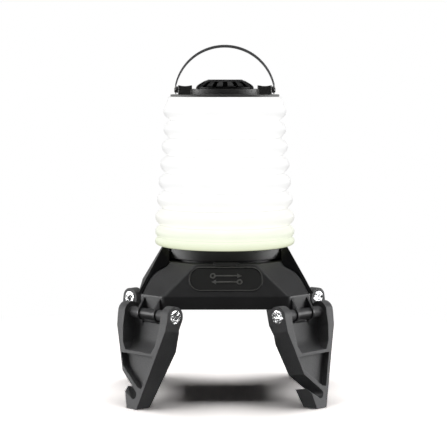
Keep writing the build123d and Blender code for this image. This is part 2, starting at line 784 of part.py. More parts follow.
with BuildPart() as bail:
    with BuildSketch(Plane.XZ):
        with BuildLine():
            outer = ThreePointArc((-bail_pivot_x - half, spring_z), (0, bail_top),
                                  (bail_pivot_x + half, spring_z))
            inner = ThreePointArc((bail_pivot_x - half, spring_z), (0, bail_top - bail_thick),
                                  (-bail_pivot_x + half, spring_z))
            Polyline(outer @ 1, (bail_pivot_x + half, bail_pivot_z), (bail_pivot_x - half, bail_pivot_z),
                     inner @ 0)
            Polyline(inner @ 1, (-bail_pivot_x + half, bail_pivot_z), (-bail_pivot_x - half, bail_pivot_z),
                     outer @ 0)
        make_face()
    extrude(amount=bail_wide / 2, both=True)
    for side in (-1, 1):
        with BuildSketch(Plane.YZ.offset(side * bail_pivot_x)):
            with Locations((0, bail_pivot_z)):
                Circle(bail_eye)
        extrude(amount=half, both=True)
    with BuildSketch(Plane.YZ):
        with Locations((0, bail_pivot_z)):
            Circle(eye_bore)
    extrude(amount=2 * bail_pivot_x, both=True, mode=Mode.SUBTRACT)
bail.part = lean_back(bail.part)
save(bail, "bail")

with BuildPart() as bail_pins:
    head_x = bail_pivot_x + half + running_gap
    with BuildSketch(Plane.YZ.offset(lug_inner)):
        with Locations((0, bail_pivot_z)):
            Circle(bail_pin_radius)
    shank = extrude(amount=head_x - lug_inner)
    mirror(shank, about=Plane.YZ)
    with BuildSketch(Plane.YZ.offset(head_x)):
        with Locations((0, bail_pivot_z)):
            Circle(bail_pin_radius + half)
    rivet = extrude(amount=pin_head)
    mirror(rivet, about=Plane.YZ)
save(bail_pins, "bail_pins")

# ---------------------------------------------------------------- hook legs
# One moulding, used four times. It is drawn facing -Y and then turned to its corner.
# Ears carry the pin, a deep recess takes the arm when the leg folds up, a cross rib and a
# shallow recess stiffen the taper, and the foot ends in a hook that opens to the left.
leg_slope = (foot_reach - hinge_reach - ear_radius) / hinge_z
leg_lean = degrees(atan(leg_slope))
leg_face = Plane(
    origin=(0, -foot_reach, 0),
    x_dir=(1, 0, 0),
    z_dir=(0, -cos(radians(leg_lean)), sin(radians(leg_lean))),
)
taper_run = (leg_half - 0.5 - foot_right) / taper_top
ear_top = hinge_z + ear_radius
hook_angle = degrees(atan((hook_kink[1] - hook_end[1]) / (hook_end[0] - hook_kink[0]))
                     - asin(hook_radius / dist(hook_kink, hook_end)))


def face_reach(z):
    """Outward reach of the leg's outer face at a height."""
    return foot_reach - leg_slope * z


def taper(z):
    """Half width of the leg at a height."""
    return foot_right + taper_run * z


def slot_point(along, across):
    """Point by the hook slot: along it from its round end, and across it, uphill."""
    turn = radians(hook_angle)
    return (hook_end[0] - along * cos(turn) + across * sin(turn),
            hook_end[1] + along * sin(turn) + across * cos(turn))


with BuildPart() as upper_recess:
    with BuildSketch(leg_face):
        low = rib_low + rib_thick
        with BuildLine():
            Polyline(
                (-taper(low) + rim_upper + 0.6, low),
                (-taper(low + 4) + rim_upper - 0.6, low + 4),
                (-ear_inner, taper_top),
                (-ear_inner, 2 * ear_top),
                (ear_inner, 2 * ear_top),
                (ear_inner, taper_top),
                (taper(low + 4) - rim_upper + 0.6, low + 4),
                (taper(low) - rim_upper - 0.6, low),
                close=True,
            )
        make_face()
    extrude(amount=-2 * ear_radius - wall)
    with BuildSketch(Plane.YZ):
        floor_z = hinge_z - cheek_radius - web_gap
        with BuildLine():
            front = Line(side_points((face_reach(low) + 1, low), (face_reach(low) - recess_edge, low)))
            scoop = JernArc(front @ 1, (1, 0), recess_scoop, 90 - leg_lean)
            Polyline(scoop @ 1, *side_points((face_reach(floor_z) - recess_depth, floor_z),
                                             (hinge_reach - 2 * ear_radius, floor_z),
                                             (hinge_reach - 2 * ear_radius, 2 * ear_top),
                                             (foot_reach, 2 * ear_top)), front @ 0)
        make_face()
    extrude(amount=leg_half, both=True, mode=Mode.INTERSECT)

with BuildPart() as leg_master:
    with BuildSketch(leg_face):
        with BuildLine():
            end = JernArc(slot_point(0, hook_radius), (cos(radians(-hook_angle)), sin(radians(-hook_angle))),
                          hook_radius, -180)
            Line(hook_kink, end @ 0)
            Polyline(
                end @ 1,
                hook_tip,
                (-foot_left, 0),
                (-foot_left, -foot_depth),
                (foot_right, -foot_depth),
                (foot_right, 0),
                (leg_half - 0.5, taper_top),
                (leg_half, hinge_z),
                (leg_half, ear_top + ear_radius),
                (-leg_half, ear_top + ear_radius),
                (-leg_half, hinge_z),
                (-leg_half + 0.5, taper_top),
                hook_kink,
            )
        make_face()
    extrude(amount=-foot_depth - 2 * ear_radius)
    # side view: sole, deep right-hand wall, ears round the pin
    run_in = radians(ear_run_in)
    with BuildSketch(Plane.YZ):
        with BuildLine():
            Polyline(*side_points(
                (foot_reach, 0), (face_reach(hinge_z) + 0.1, hinge_z), (hinge_reach, hinge_z),
                (hinge_reach - ear_radius * cos(run_in), hinge_z - ear_radius * sin(run_in)),
                (face_reach(taper_top) - knee_depth + 3.2, taper_top - 1),
                (face_reach(knee_z) - knee_depth, knee_z),
                (foot_reach - foot_depth, 0)), close=True)
        make_face()
        with Locations((-hinge_reach, hinge_z)):
            Circle(ear_radius)
    extrude(amount=leg_half, both=True, mode=Mode.INTERSECT)
    # bevel on the front corner of the hook's point
    corner = [leg_face.from_local_coords(Vector(*point)) for point in (
        (*slot_point(0, -hook_radius), 0), (*hook_corner, 0), (*hook_tip, -hook_bevel))]
    edges = [point - corner[0] for point in corner]
    with BuildSketch(Plane(corner[0], x_dir=edges[1], z_dir=edges[2].cross(edges[1]))) as bevel:
        Polygon(*(bevel.workplanes[0].to_local_coords(corner[0] + edge * wall) for edge in edges), align=None)
    extrude(amount=wall, mode=Mode.SUBTRACT)
    # the left-hand wall is shallower
    with BuildSketch(Plane.YZ):
        with BuildLine():
            Polyline(*side_points(
                (face_reach(0) - left_wall_low, 0), (face_reach(taper_top) - left_wall_high, taper_top),
                (0, taper_top), (0, 0)), close=True)
        make_face()
    extrude(amount=-leg_half, mode=Mode.SUBTRACT)
    add(upper_recess.part, mode=Mode.SUBTRACT)
    # barrel on both sides of the lug, on a gusset from the web
    with BuildSketch(Plane.YZ.offset(lug_half + joint_gap)):
        with Locations((-hinge_reach, hinge_z)):
            Circle(knuckle_radius)
        with BuildLine():
            web_top = floor_z - wall
            Polyline(*side_points(
                (hinge_reach, hinge_z), (face_reach(web_top) - recess_depth, web_top),
                (face_reach(web_top) - recess_depth - wall / 2, web_top),
                (hinge_reach - knuckle_radius, hinge_z)), close=True)
        make_face()
    barrel = extrude(amount=ear_inner - lug_half)
    mirror(barrel, about=Plane.YZ)
    # lower recess between the rib and the hook
    with BuildSketch(leg_face):
        with BuildLine():
            Polyline(
                (-taper(rib_low) + rim_left, rib_low),
                (-taper(hook_kink[1] + 2) + rim_left, hook_kink[1] + 2.4),
                slot_point(0.7, hook_radius + rim_slot),
                (taper(recess_corner) - rim_right, recess_corner),
                (taper(rib_low) - rim_right, rib_low),
                close=True,
            )
        make_face()
    extrude(amount=-panel_depth, mode=Mode.SUBTRACT)
    # pin bore and counterbores
    with BuildSketch(Plane.YZ):
        with Locations((-hinge_reach, hinge_z)):
            Circle(bore)
    extrude(amount=leg_half, both=True, mode=Mode.SUBTRACT)
    for side in (-1, 1):
        with BuildSketch(Plane.YZ.offset(side * leg_half)):
            with Locations((-hinge_reach, hinge_z)):
                Circle(head_radius + running_gap)
        extrude(amount=-side * (head_thick - head_proud), mode=Mode.SUBTRACT)

# Hinge pins: a barrel nut from the left and a socket screw from the right, heads let
# into the ears.
seat_x = leg_half - head_thick + head_proud
with BuildPart() as nut_master:
    with BuildSketch(Plane.YZ.offset(-seat_x)):
        with Locations((-hinge_reach, hinge_z)):
            Circle(head_radius)
    extrude(amount=-head_thick)
    fillet(nut_master.edges().sort_by(Axis.X)[0], head_proud)
    with BuildSketch(Plane.YZ.offset(-seat_x)):
        with Locations((-hinge_reach, hinge_z)):
            Circle(pin_radius)
    extrude(amount=2 * seat_x - nut_short)
    with BuildSketch(Plane.YZ.offset(seat_x)):
        with Locations((-hinge_reach, hinge_z)):
            Circle(thread_radius + running_gap)
    extrude(amount=-2 * seat_x, mode=Mode.SUBTRACT)
    with BuildSketch(Plane.YZ.offset(-seat_x - head_thick)):
        with Locations((-hinge_reach, hinge_z)):
            Rectangle(2 * head_radius, driver_slot)
    extrude(amount=socket_depth, mode=Mode.SUBTRACT)

with BuildPart() as screw_master:
    with BuildSketch(Plane.YZ.offset(seat_x)):
        with Locations((-hinge_reach, hinge_z)):
            Circle(head_radius)
    extrude(amount=head_thick)
    fillet(screw_master.edges().sort_by(Axis.X)[-1], head_proud)
    with BuildSketch(Plane.YZ.offset(seat_x)):
        with Locations((-hinge_reach, hinge_z)):
            Circle(pin_radius)
    extrude(amount=joint_gap - nut_short)
    with BuildSketch(Plane.YZ.offset(seat_x)):
        with Locations((-hinge_reach, hinge_z)):
            Circle(thread_radius)
    extrude(amount=-screw_reach_in)
    with BuildSketch(Plane.YZ.offset(seat_x + head_thick)):
        with Locations((-hinge_reach, hinge_z)):
            RegularPolygon(socket_across / 2, 6, major_radius=False)
    extrude(amount=-socket_depth, mode=Mode.SUBTRACT)

for corner, angle in corners.items():
    for kind, master in (("leg", leg_master), ("hinge_screw", screw_master), ("barrel_nut", nut_master)):
        with BuildPart() as piece:
            add(master.part.rotate(Axis.Z, angle))
        save(piece, f"{kind}_{corner}")

# ---------------------------------------------------------------- port cover and sockets
# Rubber cover, flush in its recess. It bends open along the front of its lower edge, where
# a strip behind it holds it to the base.
lip_width = port_width - 2 * wall
lip_height = port_height - 2 * wall
behind_flap = front_panel.offset(-flap_thick)
with BuildPart() as port_cover:
    with BuildSketch(front_panel):
        RectangleRounded(port_width, port_height, port_round)
    extrude(amount=-flap_thick)
    with BuildSketch(behind_flap):
        RectangleRounded(lip_width, lip_height, port_round - wall)
        RectangleRounded(lip_width - 2 * flap_lip, lip_height - 2 * flap_lip, port_round - wall - flap_lip,
                         mode=Mode.SUBTRACT)
    extrude(amount=-(port_recess - flap_thick - seat_gap))
save(port_cover, "port_cover")

with BuildPart() as cover_anchor:
    with BuildSketch(behind_flap.offset(-seat_gap)):
        with Locations((0, (anchor_high - port_height) / 2)):
            Rectangle(port_width - 2 * port_round, anchor_high)
    extrude(amount=-(port_recess - flap_thick - seat_gap))
save(cover_anchor, "cover_anchor")

for name, size, place, tongue in (
    ("usb_a_socket", usb_a, (usb_a_x, 0), usb_a_tongue),
    ("micro_usb_socket", micro_usb, (micro_x, micro_y), micro_usb_tongue),
):
    with BuildPart() as socket:
        with BuildSketch(usb_floor):
            with Locations(place):
                Rectangle(size[0], size[1])
        extrude(amount=-size[2])
        with BuildSketch(usb_floor):
            with Locations(place):
                Rectangle(size[0] - 2 * sheet_metal, size[1] - 2 * sheet_metal)
        extrude(amount=-(size[2] - socket_back), mode=Mode.SUBTRACT)
        with BuildSketch(usb_floor.offset(-socket_back)):
            with Locations((place[0], place[1] + tongue[2])):
                Rectangle(tongue[0], tongue[1])
        extrude(amount=-(size[2] - 1.5 * socket_back))
    save(socket, name)

# board under the sockets, from the thick wall behind the cover to the back of the shells
board_left = usb_a_x - usb_a[0] / 2
board_right = micro_x + micro_usb[0] / 2
with BuildPart() as port_board:
    with BuildSketch(usb_floor.offset(-wall)):
        with Locations(((board_left + board_right) / 2, (-usb_a[1] - board_thick) / 2)):
            Rectangle(board_right - board_left, board_thick)
    extrude(amount=-(usb_a[2] - wall))
save(port_board, "port_board")

# ---------------------------------------------------------------- rear controls
for name, place in (("button_white", -button_x), ("button_colour", button_x)):
    with BuildPart() as button:
        with BuildSketch(rear_panel.offset(button_proud)):
            with Locations((place, 0)):
                Circle(button_radius)
        extrude(amount=-(button_proud + panel_wall + seat_gap))
        with BuildSketch(rear_panel.offset(-panel_wall - seat_gap)):
            with Locations((place, 0)):
                Circle(button_flange)
        extrude(amount=-flange_thick)
        with BuildSketch(rear_panel.offset(-panel_wall - seat_gap - flange_thick)):
            with Locations((place, 0)):
                Circle(nub_radius)
        extrude(amount=-nub_long)
    save(button, name)

with BuildPart() as charge_light:
    with BuildSketch(rear_panel.offset(seat_gap)):
        Circle(lens_radius)
    extrude(amount=-(seat_gap + switch_board_depth))
save(charge_light, "charge_light")

with BuildPart() as switch_board:
    with BuildSketch(rear_panel.offset(-switch_board_depth)):
        Rectangle(2 * (switch_post_x + post_radius), 2 * button_radius)
    extrude(amount=-board_thick)
save(switch_board, "switch_board")

with BuildPart() as switches:
    with BuildSketch(rear_panel.offset(-switch_board_depth)):
        with Locations((-button_x, 0), (button_x, 0)):
            Rectangle(switch_side, switch_side)
    extrude(amount=switch_high * 0.6)
    with BuildSketch(rear_panel.offset(-switch_board_depth)):
        with Locations((-button_x, 0), (button_x, 0)):
            Circle(nub_radius)
    extrude(amount=switch_high)
save(switches, "tact_switches")
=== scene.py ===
from math import atan, cos, pi, sin, tau

import bmesh
import bpy
from mathutils import Matrix, Vector


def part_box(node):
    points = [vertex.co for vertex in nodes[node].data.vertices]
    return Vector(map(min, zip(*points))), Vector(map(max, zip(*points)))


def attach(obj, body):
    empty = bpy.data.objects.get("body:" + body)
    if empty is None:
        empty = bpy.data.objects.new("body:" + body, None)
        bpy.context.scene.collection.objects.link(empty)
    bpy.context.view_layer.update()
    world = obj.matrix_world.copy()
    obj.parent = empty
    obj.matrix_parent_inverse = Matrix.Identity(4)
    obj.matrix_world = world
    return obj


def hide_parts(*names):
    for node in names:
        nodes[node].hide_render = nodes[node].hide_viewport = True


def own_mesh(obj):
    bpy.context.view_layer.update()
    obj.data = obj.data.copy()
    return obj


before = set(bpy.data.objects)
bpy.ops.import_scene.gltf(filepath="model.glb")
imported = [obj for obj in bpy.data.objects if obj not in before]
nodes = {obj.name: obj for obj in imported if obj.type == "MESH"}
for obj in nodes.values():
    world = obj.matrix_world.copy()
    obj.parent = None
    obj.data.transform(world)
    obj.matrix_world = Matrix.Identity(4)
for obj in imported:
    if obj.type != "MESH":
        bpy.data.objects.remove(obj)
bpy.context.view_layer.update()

scene = bpy.context.scene
mm = 0.001

# ------------------------------------------------------------------ camera
# Eye level with the crown, about 0.84 m away on a long lens, looking slightly down.
camera = bpy.data.objects.new("camera", bpy.data.cameras.new("camera"))
scene.collection.objects.link(camera)
camera.data.lens, camera.data.sensor_width = 134.74, 36
camera.location = (-0.01166, -0.8385, 0.15714)
view_direction = Vector((0.01305, 0.9963, -0.0853))
camera.rotation_euler = view_direction.to_track_quat("-Z", "Y").to_euler()
scene.camera = camera
scene.view_settings.view_transform = "Standard"


# ------------------------------------------------------------------ table
# White table. The camera sees it lit near the object, where the shadow falls, and plain
# white further off. Everything else meets it as a grey board, so it reflects less light up.
def linear(hex_colour):
    """An sRGB hex colour as linear RGBA."""
    shares = [int(hex_colour[i:i + 2], 16) / 255 for i in (1, 3, 5)]
    return (*(s / 12.92 if s <= 0.04045 else ((s + 0.055) / 1.055) ** 2.4 for s in shares), 1)


def add(tree, kind, inputs=None, **settings):
    """Add a shader node with its settings, and link or set its inputs."""
    made = tree.nodes.new("ShaderNode" + kind)
    for name, value in settings.items():
        setattr(made, name, value)
    for socket, value in (inputs or {}).items():
        if isinstance(value, bpy.types.NodeSocket):
            tree.links.new(value, made.inputs[socket])
        else:
            made.inputs[socket].default_value = value
    return made


def blank(data):
    """The data's node tree, emptied, and its output node."""
    data.use_nodes = True
    data.node_tree.nodes.clear()
    kind = "OutputWorld" if isinstance(data, bpy.types.World) else "OutputMaterial"
    return data.node_tree, add(data.node_tree, kind)


def spread(tree, value, low, high, start=0.3, end=0.7, **settings):
    """A value between start and end, as a number between low and high."""
    return add(tree, "MapRange", {"Value": value, "From Min": start, "From Max": end,
                                  "To Min": low, "To Max": high}, **settings).outputs["Result"]


shadow_edge, table_edge, table_half = 0.11, 0.30, 3.0      # m from the middle
table_mesh = bmesh.new()
bmesh.ops.create_grid(table_mesh, x_segments=1, y_segments=1, size=table_half)
table_data = bpy.data.meshes.new("table_top")
table_mesh.to_mesh(table_data)
table_top = bpy.data.objects.new("table_top", table_data)
scene.collection.objects.link(table_top)

board = bpy.data.materials.new("white_table")
tree, output = blank(board)
far = add(tree, "VectorMath", {0: add(tree, "TexCoord").outputs["Object"]}, operation="LENGTH")
fade = spread(tree, far.outputs["Value"], 0, 1, shadow_edge, table_edge,
              interpolation_type="SMOOTHSTEP")
lit = add(tree, "BsdfDiffuse", {"Color": (2.75, 2.65, 2.6, 1)})      # above 1, so white if unshaded
glow = add(tree, "Emission", {"Color": (1, 1, 1, 1), "Strength": 1.0})
seen = add(tree, "MixShader", {0: fade, 1: lit.outputs[0], 2: glow.outputs[0]})
dull = add(tree, "BsdfDiffuse", {"Color": linear("#8c8c8c")})
path = add(tree, "LightPath")
laminate = add(tree, "MixShader", {0: path.outputs["Is Camera Ray"], 1: dull.outputs[0],
                                   2: seen.outputs[0]})
tree.links.new(laminate.outputs[0], output.inputs["Surface"])
table_data.materials.append(board)

# ------------------------------------------------------------------ studio
# One softbox overhead, a faint one in front and a low one on each side. Only the one overhead
# lights the table and the globe, so that the shadow under the base stays deep. Shiny surfaces
# see white low down behind the object, fading towards the front and upwards.
world = bpy.data.worlds.new("studio")
scene.world = world
tree, output = blank(world)
side = add(tree, "SeparateXYZ", {0: add(tree, "TexCoord").outputs["Generated"]})
behind = spread(tree, side.outputs["Y"], 0.03, 1.05, -0.6, 0.1, interpolation_type="SMOOTHSTEP")
above = spread(tree, side.outputs["Z"], 1.0, 0.15, 0.15, 0.45, interpolation_type="SMOOTHSTEP")
band = add(tree, "Math", {0: behind, 1: above}, operation="MULTIPLY")
ambient = add(tree, "Background", {"Color": (1, 1, 1, 1), "Strength": 0.0005})      # nearly none
mirrored = add(tree, "Background", {"Color": (1, 1, 1, 1), "Strength": band.outputs[0]})
white = add(tree, "Background", {"Color": (1, 1, 1, 1), "Strength": 1.0})
path = add(tree, "LightPath")
shiny = add(tree, "Math", {0: path.outputs["Is Glossy Ray"],
                           1: path.outputs["Is Transmission Ray"]}, operation="MAXIMUM")
unseen = add(tree, "MixShader", {0: shiny.outputs[0], 1: ambient.outputs[0],
                                 2: mirrored.outputs[0]})
backdrop = add(tree, "MixShader", {0: path.outputs["Is Camera Ray"], 1: unseen.outputs[0],
                                   2: white.outputs[0]})
tree.links.new(backdrop.outputs[0], output.inputs["Surface"])

flagged = bpy.data.collections.new("flagged")      # what only the softbox overhead lights
flagged.objects.link(table_top)
aim = Vector((0, 0, 0.07))                          # the base
for name, spot, wide, tall, power in (              # m, m and W
    ("softbox_top", (0, 0.12, 1.30), 1.25, 1.25, 11),
    ("softbox_front", (0, -1.6, 0.5), 2.0, 1.2, 1.6),
    ("softbox_left", (-0.80, 0.10, 0.17), 0.8, 0.34, 5.6),
    ("softbox_right", (0.80, 0.10, 0.17), 0.8, 0.34, 5.6),
):
    lamp = bpy.data.lights.new(name, "AREA")
    lamp.shape = "RECTANGLE"
    lamp.size, lamp.size_y, lamp.energy = wide, tall, power
    softbox = bpy.data.objects.new(name, lamp)
    scene.collection.objects.link(softbox)
    softbox.location = spot
    softbox.rotation_euler = (aim - Vector(spot)).to_track_quat("-Z", "Y").to_euler()
    if name != "softbox_top":
        softbox.light_linking.receiver_collection = flagged


# ------------------------------------------------------------------ housing and bottom cover
# Glass-filled nylon, moulded in a spark-eroded tool: charcoal, with a fine even grain, a
# slight cloudiness, and edges that the tool leaves round, painted paler along them as a highlight.
cloud_size = 11      # mm, the patches of the slight cloudiness
edge_highlight_gain = 1.25          # how much paler the edges are painted, a painted highlight
uneven = 0.04        # how far roughness strays either way


def moulded(name, colour, roughness, grain=0.45, depth=0.04, mottle=0.10, edge=0.3, level=0.5):
    """Moulded plastic or rubber. Sizes of its grain and its rounded edges are in mm."""
    plastic = bpy.data.materials.new(name)
    tree, output = blank(plastic)
    place = add(tree, "TexCoord").outputs["Object"]
    pits = add(tree, "TexNoise", {"Vector": place, "Scale": 1 / (grain * mm),
                                  "Detail": 2.0}).outputs["Fac"]
    cloud = add(tree, "TexNoise", {"Vector": place, "Scale": 1 / (cloud_size * mm),
                                    "Detail": 3.0}).outputs["Fac"]
    tone = add(tree, "Math", {0: spread(tree, cloud, 1 - mottle, 1 + mottle),
                              1: spread(tree, pits, 1 - mottle, 1 + mottle)}, operation="MULTIPLY")
    rounding = add(tree, "Bevel", {"Radius": edge * mm}, samples=4).outputs["Normal"]
    turn = add(tree, "VectorMath", {0: rounding, 1: add(tree, "NewGeometry").outputs["Normal"]},
               operation="DOT_PRODUCT").outputs["Value"]
    # painted highlight: the colour is made paler where the rounded edges turn
    tone_and_edge_highlight = add(tree, "Math", {0: tone.outputs[0], 1: spread(tree, turn, edge_highlight_gain, 1.0, 0.9, 1.0)},
                 operation="MULTIPLY")
    paint = add(tree, "VectorMath", {0: linear(colour)[:3], "Scale": tone_and_edge_highlight.outputs[0]},
                operation="SCALE")
    relief = add(tree, "Bump", {"Height": pits, "Distance": depth * mm, "Normal": rounding})
    skin = add(tree, "BsdfPrincipled", {
        "Base Color": paint.outputs[0], "Specular IOR Level": level,
        "Roughness": spread(tree, cloud, roughness - uneven, roughness + uneven),
        "Normal": relief.outputs["Normal"]})
    tree.links.new(skin.outputs[0], output.inputs["Surface"])
    return plastic


def dress(material, *names):
    """Give CAD nodes their material."""
    for name in names:
        if not nodes[name].material_slots:
            nodes[name].data.materials.append(material)
        for held in nodes[name].material_slots:
            held.material = material


dress(moulded("charcoal_nylon", "#323233", 0.42), "housing")
dress(moulded("charcoal_nylon_below", "#323233", 0.48), "bottom_cover")


# ------------------------------------------------------------------ side guards
# Black ABS shields that clip over the two sides of the base and stand out further towards
# the foot. Their tool is polished, so they carry only the faint waviness of thin walls.
def make(name, mesh, material, body, smooth=True):
    """Turn a bmesh into a piece of the scene that rides on a body."""
    data = bpy.data.meshes.new(name)
    mesh.to_mesh(data)
    for face in data.polygons:
        face.use_smooth = smooth
    piece = bpy.data.objects.new(name, data)
    scene.collection.objects.link(piece)
    data.materials.append(material)
    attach(piece, body)
    return piece


lean = atan((41.2 - 33.4) / 14.7)      # slope of the sides of the base
weld = 0.002 * mm                      # closes the seams between the triangles of a CAD mesh
proud_top, proud_foot = 0.4, 1.0       # mm that the outer face stands out
skin_deep = 0.5                        # mm, what counts as the outer face
black_abs = moulded("polished_black_abs", "#080809", 0.34, grain=6.0, depth=0.02, mottle=0.05,
                    level=0.03)
for side, node in ((-1, "side_guard_left"), (1, "side_guard_right")):
    (_, _, guard_foot), (_, _, guard_top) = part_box(node)
    shell = bmesh.new()
    shell.from_mesh(nodes[node].data)
    shell.transform(nodes[node].matrix_world)
    bmesh.ops.remove_doubles(shell, verts=shell.verts, dist=weld)
    outward = Vector((side * cos(lean), 0, sin(lean)))
    outer_face = max(point.co.dot(outward) for point in shell.verts)
    for point in shell.verts:
        if point.co.dot(outward) > outer_face - skin_deep * mm:
            fall = (guard_top - point.co.z) / (guard_top - guard_foot)
            point.co.x += side * (proud_top + (proud_foot - proud_top) * fall) * mm
    guard = make("shield_" + node.split("_")[-1], shell, black_abs, "base", smooth=False)
    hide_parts(node)


# ------------------------------------------------------------------ bottom screws
# Zinc-plated cross-head screws: a satin grey metal that is a little blotchy from the bath.
def metal(name, colour, roughness, patch=1.2, depth=0.004, edge=0.2, stretch=(1, 1, 1)):
    """Bare or plated metal. Patches of its finish are in mm, and longer where stretched."""
    plate = bpy.data.materials.new(name)
    tree, output = blank(plate)
    place = add(tree, "VectorMath", {0: add(tree, "TexCoord").outputs["Object"], 1: stretch},
                operation="MULTIPLY").outputs["Vector"]
    blotch = add(tree, "TexNoise", {"Vector": place, "Scale": 1 / (patch * mm),
                                    "Detail": 3.0}).outputs["Fac"]
    rounding = add(tree, "Bevel", {"Radius": edge * mm}, samples=4).outputs["Normal"]
    relief = add(tree, "Bump", {"Height": blotch, "Distance": depth * mm, "Normal": rounding})
    paint = add(tree, "VectorMath", {0: linear(colour)[:3],
                                     "Scale": spread(tree, blotch, 0.92, 1.05)}, operation="SCALE")
    skin = add(tree, "BsdfPrincipled", {
        "Base Color": paint.outputs[0], "Metallic": 1.0,
        "Roughness": spread(tree, blotch, roughness - uneven, roughness + uneven),
        "Normal": relief.outputs["Normal"]})
    tree.links.new(skin.outputs[0], output.inputs["Surface"])
    return plate


dress(metal("zinc_plate", "#a9abad", 0.34), "cover_screws")

# ------------------------------------------------------------------ battery and boards
# Lithium pack in blue shrink film, in a black ABS tray. The boards are glass-epoxy under
# green solder mask, with the tracks showing through it as paler lines 0.2 mm wide.
dress(moulded("tray_abs", "#1a1a1b", 0.5),
      "battery_tray", "globe_retainer", "cap_clamp", "vent_core")
dress(moulded("blue_shrink_film", "#23418f", 0.25, grain=3.0, depth=0.08, mottle=0.06),
      "battery_pack")

brick = 14      # mm, so that a mortar of 0.012 is a track of 0.2 mm
solder_mask = bpy.data.materials.new("solder_mask")
tree, output = blank(solder_mask)
place = add(tree, "TexCoord").outputs["Object"]
tracks = add(tree, "TexBrick", {
    "Vector": place, "Scale": 1 / (brick * mm), "Mortar Size": 0.012,
    "Color1": linear("#14532a"), "Color2": linear("#185e31"), "Mortar": linear("#2f8a4c")})
relief = add(tree, "Bump", {"Height": tracks.outputs["Fac"], "Distance": 0.03 * mm})
skin = add(tree, "BsdfPrincipled", {"Base Color": tracks.outputs["Color"], "Roughness": 0.3,
                                    "Normal": relief.outputs["Normal"]})
tree.links.new(skin.outputs[0], output.inputs["Surface"])
dress(solder_mask, "main_board", "port_board", "switch_board")

# ------------------------------------------------------------------ collar
# The ring under the globe, the same nylon from a smoother tool, so it shines a little more
# than the base and picks up a soft highlight on both sides.
dress(moulded("collar_nylon", "#2c2c2d", 0.46, grain=0.35, depth=0.02), "collar_ring")

# ------------------------------------------------------------------ lamp
# Faced aluminium spreader, a white lamp board with yellow phosphor emitters, and a frosted
# polycarbonate lens over them.
dress(metal("faced_aluminium", "#c9cacc", 0.3, patch=0.5, depth=0.01), "heat_spreader")
dress(moulded("white_solder_mask", "#e9eae8", 0.35, grain=1.5, depth=0.01, mottle=0.03),
      "lamp_board")
dress(moulded("phosphor_silicone", "#f2cf4a", 0.4, grain=0.2, depth=0.02), "led_emitters")

frost_grain = 0.3      # mm
frosted = bpy.data.materials.new("frosted_polycarbonate")
tree, output = blank(frosted)
frost = add(tree, "TexNoise", {"Vector": add(tree, "TexCoord").outputs["Object"],
                               "Scale": 1 / (frost_grain * mm), "Detail": 2.0}).outputs["Fac"]
relief = add(tree, "Bump", {"Height": frost, "Distance": 0.03 * mm})
skin = add(tree, "BsdfPrincipled", {
    "Base Color": linear("#f7f8f6"), "Transmission Weight": 0.75, "IOR": 1.58,
    "Roughness": spread(tree, frost, 0.4, 0.55), "Normal": relief.outputs["Normal"]})
tree.links.new(skin.outputs[0], output.inputs["Surface"])
dress(frosted, "lamp_lens")

# ------------------------------------------------------------------ globe
# Bellows of white silicone, moulded in one piece and dusted inside: seven soft folds that
# narrow towards the cap over a bead and a rolled flange. The lamp behind it makes it glow,
# and shade in the notches is painted into that glow.
(_, _, globe_foot), (_, _, globe_top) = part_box("globe")
foot_end, flange, groove, crest_low = 28.0, 35.2, 33.7, 34.9      # radii, mm, going up
crest_high, shoulder, top_end = 30.7, 29.0, 24.6
groove_up, bead_up, first_up, pitch = 4.7, 10.6, 14.5, 8.8        # heights, mm
folds, fold_depth, skin_thick = 7, 3.55, 1.2                      # depth and thickness in mm
rise = (globe_top - globe_foot) / mm
# radius, height over the collar, crease, and glow with painted shade (below 1) of each ring
rings = [(foot_end, 0.0, 0, 0.9), (flange - 2.4, 0.0, 0, 0.9),
         (flange - 0.3, 1.1, 0, 0.96), (flange, 2.4, 0, 1), (flange - 0.3, 3.7, 0, 0.97),
         (groove, groove_up, 0.5, 0.9), (crest_low, groove_up + 1.2, 0, 0.98),
         (crest_low + 0.2, groove_up + 2.9, 0, 1), (crest_low - 0.4, bead_up - 1.3, 0, 0.96),
         (crest_low - 2.6, bead_up, 0.6, 0.86)]
for fold in range(folds):
    taper = min(fold / (folds - 2), 1)
    crest = crest_low + (crest_high - crest_low) * taper
    middle = first_up + fold * pitch
    rings += [(crest - 1.1, middle - 0.33 * pitch, 0, 0.97),
              (crest + 0.1, middle - 0.13 * pitch, 0, 1),
              (crest + 0.1, middle + 0.13 * pitch, 0, 1)]
    if fold < folds - 1:
        rings += [(crest - 1.1, middle + 0.33 * pitch, 0, 0.96),
                  (crest - fold_depth, middle + 0.5 * pitch, 0.6, 0.86)]
rings += [(shoulder + 0.3, rise - 3.6, 0, 0.98), (shoulder - 0.2, rise - 1.0, 0, 0.97),
          (shoulder - 0.8, rise, 0.8, 0.9), (top_end, rise, 0.8, 0.9)]

bellows = bmesh.new()
line = [bellows.verts.new((radius * mm, 0, globe_foot + up * mm)) for radius, up, *_ in rings]
edges = [bellows.edges.new(pair) for pair in zip(line, line[1:])]
bmesh.ops.spin(bellows, geom=line + edges, cent=(0, 0, 0), axis=(0, 0, 1), angle=tau, steps=96,
               use_merge=True)
same = 0.01      # mm, heights and radii closer than this are one
bmesh.ops.remove_doubles(bellows, verts=bellows.verts, dist=same * mm)
bmesh.ops.recalc_face_normals(bellows, faces=bellows.faces)
crease = bellows.edges.layers.float.new("crease_edge")
glow_and_painted_shade_layer = bellows.verts.layers.float.new("glow")
heights = {round(up / same): (fold_crease, glow) for _, up, fold_crease, glow in rings}
for point in bellows.verts:
    point[glow_and_painted_shade_layer] = heights[round((point.co.z - globe_foot) / mm / same)][1]
for edge in bellows.edges:
    low, high = edge.verts
    level = abs(low.co.z - high.co.z) < 0.1 * same * mm
    if level and abs(low.co.xy.length - high.co.xy.length) < same * mm:
        edge[crease] = heights[round((low.co.z - globe_foot) / mm / same)][0]

